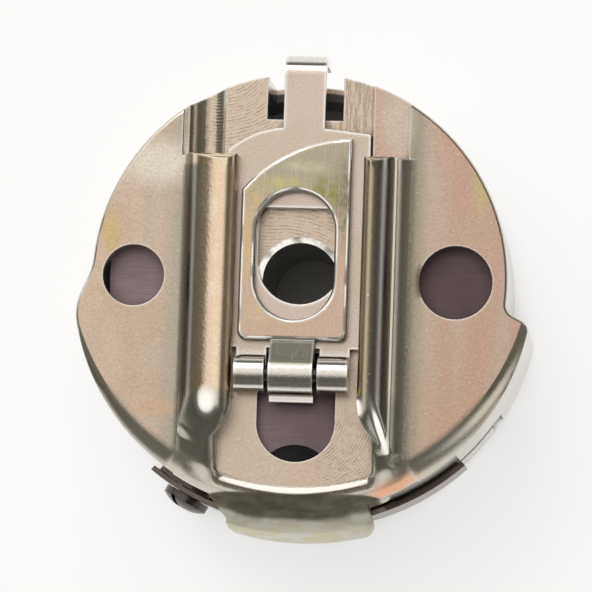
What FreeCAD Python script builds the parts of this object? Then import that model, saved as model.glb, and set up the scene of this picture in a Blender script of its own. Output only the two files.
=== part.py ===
"""A lockstitch bobbin case as separate pieces, in millimetres.

The sleeve's axis is Z and the open rim lies at zero, so the latch side faces up. The latch finger
points along +Y. Every driving size is a cell of the sheet Sizes, and each piece is bound to it.
"""
import FreeCAD, Part
import math
import os
import re

import Sketcher

SIZES = {
    # Cup and front wall
    "wall_radius": 12.0,
    "collar_radius": 13.28,
    "collar_x": 0.18,
    "collar_y": 0.1,
    "cavity_radius": 11.2,
    "cavity_depth": 9.0,
    "plate_top": 10.4,
    "plate_round": 0.2,
    "ring_y": 1.3,
    "ring_top": 12.84,
    "ring_over": 0.07,
    "ring_foot": 14.79,
    "ring_foot_z": 8.9,
    "ring_round": 2.1,
    "flare_height": 1.85,
    "flare_inner_x": 11.12,
    "flare_inner_y": 2.5,
    "flare_round": 3.0,
    "step_height": 2.3,
    "step_inner_x": 11.0,
    "step_inner_y": 1.1,
    "step_round": 0.7,
    "window_left_x": 9.58,
    "window_left_radius": 1.77,
    "window_right_x": 9.0,
    "window_right_radius": 2.12,
    "notch_half": 2.2,
    "notch_foot": 9.3,
    "notch_sill": 4.2,
    # Guide rails, as a section across X
    "rail_end": 7.05,
    "rail_end_round": 0.6,
    "rail_end_drop": 0.5,
    "rail_end_run": 0.45,
    "rail_end_over": 0.05,
    "rail_length": 24.0,
    "rail_sink": 1.2,
    "rail_top": 11.95,
    "rail_mouth": 11.4,
    "left_base": 7.0,
    "left_wall": 6.7,
    "left_wall_top": 10.95,
    "left_round": 1.17,
    "left_crown": 5.65,
    "left_crown_top": 11.88,
    "left_lip": 4.25,
    "left_inner": 3.7,
    "right_inner": 3.6,
    "right_lip": 4.05,
    "right_crown": 4.4,
    "right_crown_top": 11.92,
    "right_round": 1.11,
    "right_wall": 5.35,
    "right_wall_top": 11.2,
    "right_foot": 5.5,
    "right_foot_top": 10.95,
    "right_base": 6.6,
    "right_foot_round": 1.37,
    "edge_round": 0.58,
    "crown_round": 6.0,
    # Shoulder that rounds the lower end of the rails, as a section turned about Z
    "shoulder_middle": 269.0,
    "shoulder_sweep": 66.0,
    "shoulder_foot": 13.42,
    "shoulder_under": 1.5,
    "shoulder_round": 1.85,
    "shoulder_knee": 12.75,
    "shoulder_knee_top": 10.01,
    "shoulder_roof": 10.0,
    "shoulder_crown": 8.4,
    "shoulder_over": 0.05,
    "heel_edge": 12.224,
    "left_heel_middle": 224.0,
    "left_heel_sweep": 24.0,
    "right_heel_middle": 310.0,
    "right_heel_sweep": 16.0,
    "foot_middle": 301.2,
    "foot_sweep": 10.4,
    # Brow over the tension spring
    "brow_radius": 15.0,
    "brow_edge": 14.55,
    "brow_wall": 13.45,
    "brow_foot": 6.2,
    "brow_side": 8.17,
    "brow_top": 8.62,
    "brow_ledge": 13.75,
    "brow_ledge_top": 8.58,
    "brow_wall_top": 8.88,
    "brow_hollow": 0.4,
    "brow_middle": 271.2,
    "brow_sweep": 50.0,
    "brow_round": 0.7,
    "brow_x": 0.3,
    "brow_left_root": 5.3,
    "brow_right_root": 3.98,
    "brow_root_y": 12.05,
    "brow_side_half": 4.2,
    "brow_side_y": 13.77,
    "brow_front_half": 3.75,
    "brow_front_y": 14.52,
    # Channel for the slide, lower pocket and slot
    "floor": 9.7,
    "lip_under": 10.42,
    "channel_left": 4.45,
    "channel_right": 4.0,
    "channel_foot": 7.0,
    "channel_length": 21.0,
    "clear_over": 1.0,
    "pocket_neck": 6.0,
    "pocket_flare": 7.0,
    "pocket_bulge": 9.1,
    "pocket_half": 4.5,
    "pocket_corner": 10.85,
    "pocket_corner_x": 4.0,
    "pocket_corner_y": 11.42,
    "pocket_flare_round": 3.2,
    "pocket_corner_round": 0.62,
    "pocket_foot_round": 14.5,
    "slot_half": 2.25,
    "slot_head": 4.2,
    "slot_end": 8.25,
    "pocket_rim": 0.38,
    "pocket_rim_head": 8.6,
    "shelf_outer": 6.1,
    "left_shelf_outer": 7.0,
    "shelf_top": 10.15,
    # Groove for the latch spring
    "groove_x": 5.5,
    "groove_axis": 10.5,
    "groove_radius": 1.05,
    "groove_foot": 3.5,
    "trough_radius": 1.2,
    "tab_slot_foot": 2.6,
    # Thread slot, seat and screw holes round the wall
    "thread_angle": 327.0,
    "thread_half": 0.45,
    "thread_top": 3.6,
    "thread_reach": 20.0,
    "eye_angle": 306.0,
    "eye_half": 0.8,
    "seat_radius": 13.6,
    "seat_middle": 272.5,
    "seat_span": 80.0,
    "seat_half": 0.9,
    "leaf_foot": 1.6,
    "leaf_top": 5.8,
    # Tension leaf
    "leaf_inner": 13.62,
    "leaf_outer": 13.92,
    "leaf_middle": 272.5,
    "leaf_span": 82.0,
    "leaf_axis": 3.7,
    "leaf_hole": 0.68,
    "tip_angle": 312.0,
    "tip_half": 2.4,
    "tip_height": 1.25,
    # Screws
    "fixing_angle": 241.5,
    "adjusting_angle": 268.0,
    "screw_tip": 11.45,
    "fixing_shank": 0.6,
    "adjusting_shank": 0.58,
    "adjusting_hole": 0.63,
    "fixing_head": 1.37,
    "adjusting_head": 1.5,
    "head_height": 0.8,
    "head_rim": 0.45,
    "head_dome": 1.9,
    "driver_half": 0.16,
    "driver_depth": 0.4,
    # Centre sleeve
    "bore_radius": 2.2,
    "bore_chamfer": 0.3,
    "sleeve_radius": 2.95,
    "stem_radius": 2.7,
    "sleeve_foot": 0.0,
    "sleeve_top": 9.3,
    "sleeve_chamfer": 0.25,
    "flange_radius": 4.2,
    "flange_thick": 0.35,
    # Anti-spin disc
    "disc_radius": 11.1,
    "disc_thick": 0.2,
    "disc_notch_half": 2.5,
    "disc_notch_foot": 9.4,
    "scallop_y": 11.7,
    "scallop_radius": 2.25,
    # Latch slide
    "slide_foot": 9.75,
    "slide_top": 10.35,
    "slide_left": 4.35,
    "slide_right": 3.88,
    "slide_left_top": 7.4,
    "slide_right_top": 8.45,
    "slide_head": 8.75,
    "slide_head_round": 5.5,
    "slide_end": 4.0,
    "slide_window_half": 2.42,
    "slide_window_y": 0.95,
    "slide_window_top": 4.1,
    "finger_half": 1.2,
    "finger_lap": 0.5,
    "finger_bend": 11.9,
    "finger_face": 13.1,
    "finger_back": 12.5,
    "finger_knee": 9.15,
    "finger_foot": 6.8,
    "finger_outer_round": 1.2,
    "finger_inner_round": 0.6,
    "tab_near": 5.4,
    "tab_far": 6.2,
    "tab_radius": 0.95,
    # Hinge: ears of the slide, pin and tongue of the lever
    "pin_y": 5.55,
    "pin_z": 10.85,
    "pin_radius": 0.5,
    "ear_bore": 0.5,
    "ear_radius": 1.1,
    "ear_lap": 0.3,
    "ear_left_outer": 3.5,
    "ear_left_inner": 1.75,
    "ear_right_inner": 1.3,
    "ear_right_outer": 3.05,
    # Latch lever
    "lever_foot": 10.5,
    "lever_top": 11.2,
    "lever_left": 3.42,
    "lever_right": 2.9,
    "lever_end": 3.62,
    "lever_end_round": 0.5,
    "lever_head": 8.12,
    "lever_corner": 5.05,
    "lever_head_round": 8.5,
    "lever_edge": 0.26,
    "oval_x": 0.25,
    "oval_half": 2.27,
    "oval_upper": 2.73,
    "oval_lower": 0.12,
    "tongue_left": 1.5,
    "tongue_right": 1.05,
    "tongue_radius": 1.25,
    "tongue_bore": 0.53,
    "tongue_root": 3.3,
    "tongue_rise": 3.6,
    "tongue_crest_y": 5.0,
    "tongue_crest_z": 11.97,
    "toe_y": 7.15,
    "toe_foot": 10.15,
    "toe_top": 10.65,
    "tongue_under": 4.5,
    # Latch spring
    "spring_wire": 0.15,
    "spring_radius": 0.78,
    "spring_turns": 11.0,
    "spring_foot": 3.3,
}

# Lengths closer than this count as equal
CLOSE = 1e-4

os.makedirs("parts", exist_ok=True)
doc = FreeCAD.newDocument("bobbin_case")
sheet = doc.addObject("Spreadsheet::Sheet", "Sizes")
for row, (alias, value) in enumerate(SIZES.items(), start=1):
    sheet.set(f"A{row}", str(value))
    sheet.setAlias(f"A{row}", alias)
doc.recompute()


def size(text):
    """Value of a signed sum of sheet names and numbers, such as 'pin_z + ear_radius'."""
    total = 0.0
    for sign, word in re.findall(r"([+-]?)\s*([\w.]+)", text):
        value = float(word) if word[0].isdigit() else float(sheet.get(word))
        total += -value if sign == "-" else value
    return total


def bind(item, path, text):
    """Bind a property or constraint of an object to a signed sum of sheet names."""
    item.setExpression(path, re.sub(r"([A-Za-z_]\w*)", r"Sizes.\1", text))


def new_body(name):
    """An empty body whose label names its file."""
    body = doc.addObject("PartDesign::Body", name)
    body.Label = name
    return body


def new_sketch(body, name, role, offset=None, turn=None):
    """A sketch on one of the body's own planes, moved along its normal or turned about its Y."""
    item = body.newObject("Sketcher::SketchObject", name)
    plane = next(f for f in body.Origin.OriginFeatures if f.Role == role)
    item.AttachmentSupport = (plane, [""])
    item.MapMode = "FlatFace"
    if turn:
        item.AttachmentOffset = FreeCAD.Placement(
            FreeCAD.Vector(), FreeCAD.Rotation(FreeCAD.Vector(0, 1, 0), size(turn)))
        bind(item, ".AttachmentOffset.Rotation.Angle", turn)
    if offset:
        bind(item, ".AttachmentOffset.Base.z", offset)
    return item


def dimension(item, kind, target, text):
    """Add one driving constraint and bind it."""
    index = item.addConstraint(Sketcher.Constraint(kind, *target, size(text)))
    bind(item, f"Constraints[{index}]", text)


def arc_between(start, end, radius, turn):
    """The short arc from start to end, turning left (1) or right (-1)."""
    chord = end - start
    side = FreeCAD.Vector(-chord.y, chord.x, 0).normalize() * turn
    height = math.sqrt(max(radius ** 2 - chord.Length ** 2 / 4, 0.0))
    middle = (start + end) * 0.5 + side * (height - radius)
    return Part.Arc(start, middle, end)


def outline(item, corners):
    """A closed outline: each corner is (x, y), or (x, y, radius, turn) where an arc leaves it."""
    points = [FreeCAD.Vector(size(corner[0]), size(corner[1]), 0) for corner in corners]
    ends = []
    for number, corner in enumerate(corners):
        start = points[number]
        end = points[(number + 1) % len(points)]
        if len(corner) == 4:
            edge = item.addGeometry(arc_between(start, end, size(corner[2]), corner[3]))
        else:
            edge = item.addGeometry(Part.LineSegment(start, end))
        flipped = item.getPoint(edge, 1).distanceToPoint(start) > CLOSE
        ends.append((edge, 2, 1) if flipped else (edge, 1, 2))
    for number, corner in enumerate(corners):
        edge, first, last = ends[number]
        after, after_first, _ = ends[(number + 1) % len(ends)]
        item.addConstraint(Sketcher.Constraint("Coincident", edge, last, after, after_first))
        dimension(item, "DistanceX", (-1, 1, edge, first), corner[0])
        dimension(item, "DistanceY", (-1, 1, edge, first), corner[1])
        if len(corner) == 4:
            dimension(item, "Radius", (edge,), corner[2])


def circle(item, across, up, radius):
    """A circle at a bound place."""
    middle = FreeCAD.Vector(size(across), size(up), 0)
    edge = item.addGeometry(Part.Circle(middle, FreeCAD.Vector(0, 0, 1), size(radius)))
    dimension(item, "DistanceX", (-1, 1, edge, 3), across)
    dimension(item, "DistanceY", (-1, 1, edge, 3), up)
    dimension(item, "Radius", (edge,), radius)


def rectangle(item, low_x, low_y, high_x, high_y):
    """An upright rectangle between two bound corners."""
    outline(item, [(low_x, low_y), (high_x, low_y), (high_x, high_y), (low_x, high_y)])


def sweep(body, kind, profile, length, reverse=False, both=False):
    """A Pad or Pocket of a sketch."""
    feature = body.newObject("PartDesign::" + kind, kind.lower() + "_" + profile.Name)
    feature.Profile = profile
    feature.Reversed = reverse
    if both:
        feature.SideType = "Symmetric"
    bind(feature, "Length", length)
    return feature


def turned(body, kind, profile, angle=None):
    """A Revolution or Groove of a sketch about Z, whole or symmetric about the sketch."""
    feature = body.newObject("PartDesign::" + kind, kind.lower() + "_" + profile.Name)
    feature.Profile = profile
    feature.ReferenceAxis = (profile, ["V_Axis"])
    feature.Angle = 360
    if angle:
        feature.Midplane = True
        bind(feature, "Angle", angle)
    return feature


def dress(body, kind, name, amount, wanted):
    """A Fillet or Chamfer on the edges of the body so far that a test picks out."""
    doc.recompute()
    base = body.Tip
    edges = base.Shape.Edges
    names = [f"Edge{n}" for n, edge in enumerate(edges, start=1) if wanted(edge)]
    feature = body.newObject("PartDesign::" + kind, name)
    feature.Base = (base, names)
    bind(feature, "Radius" if kind == "Fillet" else "Size", amount)
    doc.recompute()
    print(f"{name}: {len(names)} edges, {feature.State}")
    return feature


def level(edge, height):
    """True for an edge that lies flat at a height."""
    box = edge.BoundBox
    return abs(box.ZMin - height) < CLOSE and abs(box.ZMax - height) < CLOSE


def upright(edge):
    """True for a straight edge along Z."""
    box = edge.BoundBox
    return box.XLength < CLOSE and box.YLength < CLOSE


def on_pocket_rim(edge):
    """True for an edge of the pocket's upper rim, where the shoulder has rounded the rails."""
    box = edge.BoundBox
    inside = max(-box.XMin, box.XMax) < size("pocket_half") + 10 * CLOSE
    return inside and box.YMax < -size("pocket_rim_head") and box.ZMin > size("floor") + size("pocket_rim")


def collar_outline(item):
    """Lower collar: an arc a little off the axis, closed by the left flare, a chord and the right step."""
    radius = size("collar_radius")
    middle = FreeCAD.Vector(size("collar_x"), -size("collar_y"), 0)
    left, right = (
        FreeCAD.Vector(middle.x + side * math.sqrt(radius ** 2 - (height + middle.y) ** 2), -height, 0)
        for side, height in ((-1, size("flare_height")), (1, size("step_height"))))
    step = FreeCAD.Vector(size("step_inner_x"), -size("step_inner_y"), 0)
    flare = FreeCAD.Vector(-size("flare_inner_x"), size("flare_inner_y"), 0)
    arc = item.addGeometry(Part.Arc(left, middle - FreeCAD.Vector(0, radius, 0), right))
    corners = ((right, step), (step, flare), (flare, left))
    lines = [item.addGeometry(Part.LineSegment(near, far)) for near, far in corners]
    dimension(item, "DistanceX", (-1, 1, arc, 3), "collar_x")
    dimension(item, "DistanceY", (-1, 1, arc, 3), "-collar_y")
    ring = [arc] + lines
    for near, far in zip(ring, lines + [arc]):
        item.addConstraint(Sketcher.Constraint("Coincident", near, 2, far, 1))
    dimension(item, "Radius", (arc,), "collar_radius")
    dimension(item, "DistanceY", (-1, 1, arc, 1), "-flare_height")
    dimension(item, "DistanceY", (-1, 1, arc, 2), "-step_height")
    dimension(item, "DistanceX", (-1, 1, lines[1], 1), "step_inner_x")
    dimension(item, "DistanceY", (-1, 1, lines[1], 1), "-step_inner_y")
    dimension(item, "DistanceX", (-1, 1, lines[1], 2), "-flare_inner_x")
    dimension(item, "DistanceY", (-1, 1, lines[1], 2), "flare_inner_y")


def ring_outline(item):
    """Section that rounds the lower edge of the front wide, about an axis a little above Z."""
    outline(item, [
        ("ring_foot", "ring_foot_z", "ring_round", 1),
        ("ring_top", "plate_top + ring_over"),
        ("ring_top", "rail_top"),
        ("rail_length", "rail_top"),
        ("rail_length", "ring_foot_z"),
    ])


def add_cup(body):
    """Outer form of the cup: wall, lower collar, and rounded front edge."""
    wall = new_sketch(body, "wall", "XY_Plane")
    circle(wall, "0", "0", "wall_radius")
    sweep(body, "Pad", wall, "plate_top")
    collar = new_sketch(body, "collar", "XY_Plane")
    collar_outline(collar)
    sweep(body, "Pad", collar, "plate_top")
    inside = size("cavity_radius")
    dress(body, "Fillet", "flare_fillet", "flare_round", lambda e: upright(e) and e.BoundBox.XMin < -inside)
    dress(body, "Fillet", "step_fillet", "step_round", lambda e: upright(e) and e.BoundBox.XMin > inside)
    top = size("plate_top")
    dress(body, "Fillet", "front_fillet", "plate_round", lambda e: level(e, top))
    ring = new_sketch(body, "ring", "XZ_Plane", offset="-ring_y")
    ring_outline(ring)
    turned(body, "Groove", ring)


def add_rails(body):
    """Raised strip that holds both rails, rounded off at its lower end by the shoulder."""
    strip = new_sketch(body, "strip", "XZ_Plane", offset="-rail_end")
    outline(strip, [
        ("-left_base", "plate_top - rail_sink"),
        ("right_base", "plate_top - rail_sink"),
        ("right_base", "plate_top", "right_foot_round", -1),
        ("right_foot", "right_foot_top"),
        ("right_wall", "right_wall_top", "right_round", 1),
        ("right_crown", "right_crown_top", "crown_round", 1),
        ("right_lip", "rail_top", "edge_round", 1),
        ("right_inner", "rail_mouth"),
        ("-left_inner", "rail_mouth", "edge_round", 1),
        ("-left_lip", "rail_top", "crown_round", 1),
        ("-left_crown", "left_crown_top", "left_round", 1),
        ("-left_wall", "left_wall_top"),
    ])
    sweep(body, "Pad", strip, "rail_length")
    ends = new_sketch(body, "rail_ends", "YZ_Plane")
    outline(ends, [
        ("rail_end", "rail_top - rail_end_drop", "rail_end_round", 1),
        ("rail_end - rail_end_run", "rail_top + rail_end_over"),
        ("rail_end - rail_end_run", "rail_top + clear_over"),
        ("rail_end + clear_over", "rail_top + clear_over"),
        ("rail_end + clear_over", "rail_top - rail_end_drop"),
    ])
    sweep(body, "Pocket", ends, "rail_length", both=True)
    shoulder = new_sketch(body, "shoulder", "XZ_Plane", turn="shoulder_middle")
    outline(shoulder, [
        ("shoulder_foot", "plate_top - shoulder_under", "shoulder_round", 1),
        ("shoulder_knee", "shoulder_knee_top", "shoulder_roof", 1),
        ("shoulder_crown", "rail_top + shoulder_over"),
        ("shoulder_crown", "rail_top + clear_over"),
        ("rail_length", "rail_top + clear_over"),
        ("rail_length", "plate_top - shoulder_under"),
    ])
    turned(body, "Groove", shoulder, "shoulder_sweep")
    for name in ("left_heel", "right_heel"):
        heel = new_sketch(body, name, "XZ_Plane", turn=name + "_middle")
        outline(heel, [
            ("heel_edge", "plate_top", "shoulder_roof", 1),
            ("shoulder_crown", "rail_top + shoulder_over"),
            ("shoulder_crown", "rail_top + clear_over"),
            ("rail_length", "rail_top + clear_over"),
            ("rail_length", "plate_top"),
        ])
        turned(body, "Groove", heel, name + "_sweep")
    foot = new_sketch(body, "rail_foot", "XZ_Plane", offset="-ring_y", turn="foot_middle")
    ring_outline(foot)
    turned(body, "Groove", foot, "foot_sweep")


def add_brow(body):
    """Ledge at the foot of the front, over the tension leaf, and the leaf's seat."""
    brow = new_sketch(body, "brow", "XY_Plane", offset="brow_foot")
    outline(brow, [
        ("-brow_left_root", "-brow_root_y"),
        ("brow_x - brow_side_half", "-brow_side_y", "brow_round", 1),
        ("brow_x - brow_front_half", "-brow_front_y", "brow_radius", 1),
        ("brow_x + brow_front_half", "-brow_front_y", "brow_round", 1),
        ("brow_x + brow_side_half", "-brow_side_y"),
        ("brow_right_root", "-brow_root_y"),
    ])
    sweep(body, "Pad", brow, "brow_wall_top - brow_foot")
    face = new_sketch(body, "brow_face", "XZ_Plane", turn="brow_middle")
    outline(face, [
        ("brow_radius", "brow_side", "brow_radius - brow_edge", 1),
        ("brow_edge", "brow_top"),
        ("brow_ledge", "brow_ledge_top", "brow_hollow", -1),
        ("brow_wall", "brow_wall_top"),
        ("brow_wall", "brow_wall_top + clear_over"),
        ("brow_radius + clear_over", "brow_wall_top + clear_over"),
        ("brow_radius + clear_over", "brow_side"),
    ])
    turned(body, "Groove", face, "brow_sweep")
    seat = new_sketch(body, "seat", "XZ_Plane", turn="seat_middle")
    rectangle(seat, "wall_radius", "leaf_axis - seat_half", "seat_radius", "leaf_axis + seat_half")
    turned(body, "Revolution", seat, "seat_span")


def cut_inside(body):
    """Bobbin cavity with its sleeve seat, side windows and the notch for the finger."""
    cavity = new_sketch(body, "cavity", "XY_Plane")
    circle(cavity, "0", "0", "cavity_radius")
    sweep(body, "Pocket", cavity, "cavity_depth", reverse=True)
    sleeve_seat = new_sketch(body, "sleeve_seat", "XY_Plane")
    circle(sleeve_seat, "0", "0", "stem_radius")
    sweep(body, "Pocket", sleeve_seat, "sleeve_top", reverse=True)
    windows = new_sketch(body, "windows", "XY_Plane")
    circle(windows, "-window_left_x", "0", "window_left_radius")
    circle(windows, "window_right_x", "0", "window_right_radius")
    circle(windows, "0", "0", "bore_radius")
    sweep(body, "Pocket", windows, "rail_length", reverse=True)
    notch = new_sketch(body, "notch", "XY_Plane", offset="notch_sill")
    rectangle(notch, "-notch_half", "notch_foot", "notch_half", "rail_length")
    sweep(body, "Pocket", notch, "rail_length", reverse=True)


def cut_front(body):
    """Undercut channel of the slide, lower pocket, slot in its floor and the shelf at the right."""
    channel = new_sketch(body, "channel", "XZ_Plane", offset="channel_foot")
    outline(channel, [
        ("-channel_left", "floor"),
        ("channel_right", "floor"),
        ("channel_right", "lip_under"),
        ("right_inner", "lip_under"),
        ("right_inner", "rail_top + clear_over"),
        ("-left_inner", "rail_top + clear_over"),
        ("-left_inner", "lip_under"),
        ("-channel_left", "lip_under"),
    ])
    sweep(body, "Pocket", channel, "channel_length")
    pocket = new_sketch(body, "pocket", "XY_Plane", offset="floor")
    outline(pocket, [
        ("-left_inner", "-pocket_neck"),
        ("-left_inner", "-pocket_flare", "pocket_flare_round", -1),
        ("-pocket_half", "-pocket_bulge"),
        ("-pocket_half", "-pocket_corner", "pocket_corner_round", 1),
        ("-pocket_corner_x", "-pocket_corner_y", "pocket_foot_round", 1),
        ("pocket_corner_x", "-pocket_corner_y", "pocket_corner_round", 1),
        ("pocket_half", "-pocket_corner"),
        ("pocket_half", "-pocket_bulge", "pocket_flare_round", -1),
        ("right_inner", "-pocket_flare"),
        ("right_inner", "-pocket_neck"),
    ])
    sweep(body, "Pocket", pocket, "rail_length", reverse=True)
    dress(body, "Fillet", "pocket_rim_fillet", "pocket_rim", on_pocket_rim)
    slot = new_sketch(body, "slot", "XY_Plane", offset="cavity_depth")
    outline(slot, [
        ("slot_half", "-slot_head"),
        ("-slot_half", "-slot_head"),
        ("-slot_half", "-slot_end", "slot_half", 1),
        ("0", "-slot_end - slot_half", "slot_half", 1),
        ("slot_half", "-slot_end"),
    ])
    sweep(body, "Pocket", slot, "plate_top", reverse=True)
    shelf = new_sketch(body, "shelf", "XY_Plane", offset="shelf_top")
    rectangle(shelf, "-left_shelf_outer", "rail_end", "shelf_outer", "rail_length")
    sweep(body, "Pocket", shelf, "plate_top", reverse=True)


def cut_groove(body):
    """Round groove of the latch spring, its open trough, and the slot of the slide's tab."""
    groove = new_sketch(body, "groove", "XZ_Plane", offset="groove_foot")
    circle(groove, "-groove_x", "groove_axis", "groove_radius")
    sweep(body, "Pocket", groove, "channel_length")
    trough = new_sketch(body, "trough", "XZ_Plane", offset="-rail_end")
    circle(trough, "-groove_x", "groove_axis", "trough_radius")
    sweep(body, "Pocket", trough, "channel_length")
    tab_slot = new_sketch(body, "tab_slot", "XZ_Plane", offset="-tab_slot_foot")
    rectangle(tab_slot, "-groove_x", "floor", "-slide_right", "lip_under")
    sweep(body, "Pocket", tab_slot, "channel_length")


def cut_wall(body):
    """Holes of the two screws and the slot that leads the thread under the leaf."""
    for name, angle, radius in (
            ("fixing_hole", "fixing_angle - 270", "fixing_shank"),
            ("adjusting_hole", "adjusting_angle - 270", "adjusting_hole")):
        hole = new_sketch(body, name, "XZ_Plane", turn=angle)
        circle(hole, "0", "leaf_axis", radius)
        sweep(body, "Pocket", hole, "thread_reach", reverse=True)
    thread = new_sketch(body, "thread", "XZ_Plane", turn="thread_angle - 270")
    rectangle(thread, "-thread_half", "-clear_over", "thread_half", "thread_top")
    sweep(body, "Pocket", thread, "thread_reach", reverse=True)
    lane = new_sketch(body, "lane", "XZ_Plane", turn="eye_angle")
    rectangle(lane, "cavity_radius - clear_over", "leaf_axis - thread_half",
              "seat_radius", "leaf_axis + thread_half")
    lane_cut = turned(body, "Groove", lane)
    lane_cut.Midplane = False
    bind(lane_cut, "Angle", "thread_angle - eye_angle")
    eye = new_sketch(body, "eye", "XZ_Plane", turn="eye_angle - 270")
    circle(eye, "0", "leaf_axis", "eye_half")
    sweep(body, "Pocket", eye, "thread_reach", reverse=True)


def make_case_body():
    """The cup with its rails, brow, channel and holes."""
    body = new_body("case_body")
    add_cup(body)
    add_rails(body)
    add_brow(body)
    cut_inside(body)
    cut_front(body)
    cut_groove(body)
    cut_wall(body)
    floor = size("floor")
    bore = size("bore_radius")

    def on_bore(edge):
        ring = level(edge, floor) and isinstance(edge.Curve, Part.Circle)
        return ring and abs(edge.Curve.Radius - bore) < CLOSE

    dress(body, "Chamfer", "bore_edge", "bore_chamfer", on_bore)
    return body


def make_centre_sleeve():
    """Tube that the bobbin turns on, with a flange that clamps the anti-spin disc."""
    body = new_body("centre_sleeve")
    tube = new_sketch(body, "tube", "XZ_Plane")
    outline(tube, [
        ("bore_radius", "sleeve_foot"),
        ("sleeve_radius - sleeve_chamfer", "sleeve_foot"),
        ("sleeve_radius", "sleeve_foot + sleeve_chamfer"),
        ("sleeve_radius", "cavity_depth - disc_thick - flange_thick"),
        ("flange_radius", "cavity_depth - disc_thick - flange_thick"),
        ("flange_radius", "cavity_depth - disc_thick"),
        ("stem_radius", "cavity_depth - disc_thick"),
        ("stem_radius", "sleeve_top"),
        ("bore_radius", "sleeve_top"),
    ])
    turned(body, "Revolution", tube)
    return body


def make_anti_spin_spring():
    """Thin disc behind the front wall, notched for the finger and scalloped at the foot."""
    body = new_body("anti_spin_spring")
    disc = new_sketch(body, "disc", "XY_Plane", offset="cavity_depth - disc_thick")
    circle(disc, "0", "0", "disc_radius")
    circle(disc, "0", "0", "stem_radius")
    sweep(body, "Pad", disc, "disc_thick")
    notch = new_sketch(body, "disc_notch", "XY_Plane")
    rectangle(notch, "-disc_notch_half", "disc_notch_foot", "disc_notch_half", "rail_length")
    sweep(body, "Pocket", notch, "rail_length", reverse=True)
    scallop = new_sketch(body, "scallop", "XY_Plane")
    circle(scallop, "0", "-scallop_y", "scallop_radius")
    sweep(body, "Pocket", scallop, "rail_length", reverse=True)
    return body


def add_ear(body, name, start, width):
    """One ear of the slide, rolled up round the pin."""
    ear = new_sketch(body, name, "YZ_Plane", offset=start)
    outline(ear, [
        ("-slide_end + ear_lap", "slide_foot"),
        ("-slide_end + ear_lap", "slide_top"),
        ("-pin_y", "slide_top", "ear_bore", -1),
        ("-pin_y - ear_bore", "pin_z", "ear_bore", -1),
        ("-pin_y", "pin_z + ear_bore", "ear_bore", -1),
        ("-pin_y + ear_bore", "pin_z"),
        ("-pin_y + ear_radius", "pin_z", "ear_radius", 1),
        ("-pin_y", "pin_z + ear_radius", "ear_radius", 1),
        ("-pin_y - ear_radius", "pin_z", "ear_radius", 1),
        ("-pin_y", "slide_foot"),
    ])
    sweep(body, "Pad", ear, width)


def make_latch_slide():
    """Slide with its window, bent finger, rolled ears and the tab that the spring pushes."""
    body = new_body("latch_slide")
    plate = new_sketch(body, "plate", "XY_Plane", offset="slide_foot")
    outline(plate, [
        ("-slide_left", "-slide_end"),
        ("-ear_left_inner", "-slide_end"),
        ("ear_right_inner", "-slide_end"),
        ("slide_right", "-slide_end"),
        ("slide_right", "slide_right_top"),
        ("finger_half", "slide_head"),
        ("-finger_half", "slide_head", "slide_head_round", 1),
        ("-slide_left", "slide_left_top"),
    ])
    sweep(body, "Pad", plate, "slide_top - slide_foot")
    window = new_sketch(body, "slide_window", "XY_Plane")
    outline(window, [
        ("slide_window_half", "slide_window_top"),
        ("-slide_window_half", "slide_window_top"),
        ("-slide_window_half", "slide_window_y", "slide_window_half", 1),
        ("0", "slide_window_y - slide_window_half", "slide_window_half", 1),
        ("slide_window_half", "slide_window_y"),
    ])
    sweep(body, "Pocket", window, "rail_length", reverse=True)
    finger = new_sketch(body, "finger", "YZ_Plane")
    outline(finger, [
        ("slide_head - finger_lap", "slide_foot"),
        ("finger_bend", "slide_foot", "finger_inner_round", -1),
        ("finger_back", "finger_knee"),
        ("finger_back", "finger_foot"),
        ("finger_face", "finger_foot"),
        ("finger_face", "finger_knee", "finger_outer_round", 1),
        ("finger_bend", "slide_top"),
        ("slide_head - finger_lap", "slide_top"),
    ])
    sweep(body, "Pad", finger, "finger_half + finger_half", both=True)
    add_ear(body, "left_ear", "-ear_left_outer", "ear_left_outer - ear_left_inner")
    add_ear(body, "right_ear", "ear_right_inner", "ear_right_outer - ear_right_inner")
    arm = new_sketch(body, "tab_arm", "XY_Plane", offset="slide_foot")
    rectangle(arm, "-groove_x", "tab_near", "-slide_right", "tab_far")
    sweep(body, "Pad", arm, "slide_top - slide_foot")
    tab = new_sketch(body, "tab", "XZ_Plane", offset="-tab_far")
    circle(tab, "-groove_x", "groove_axis", "tab_radius")
    sweep(body, "Pad", tab, "tab_far - tab_near")
    return body


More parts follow.
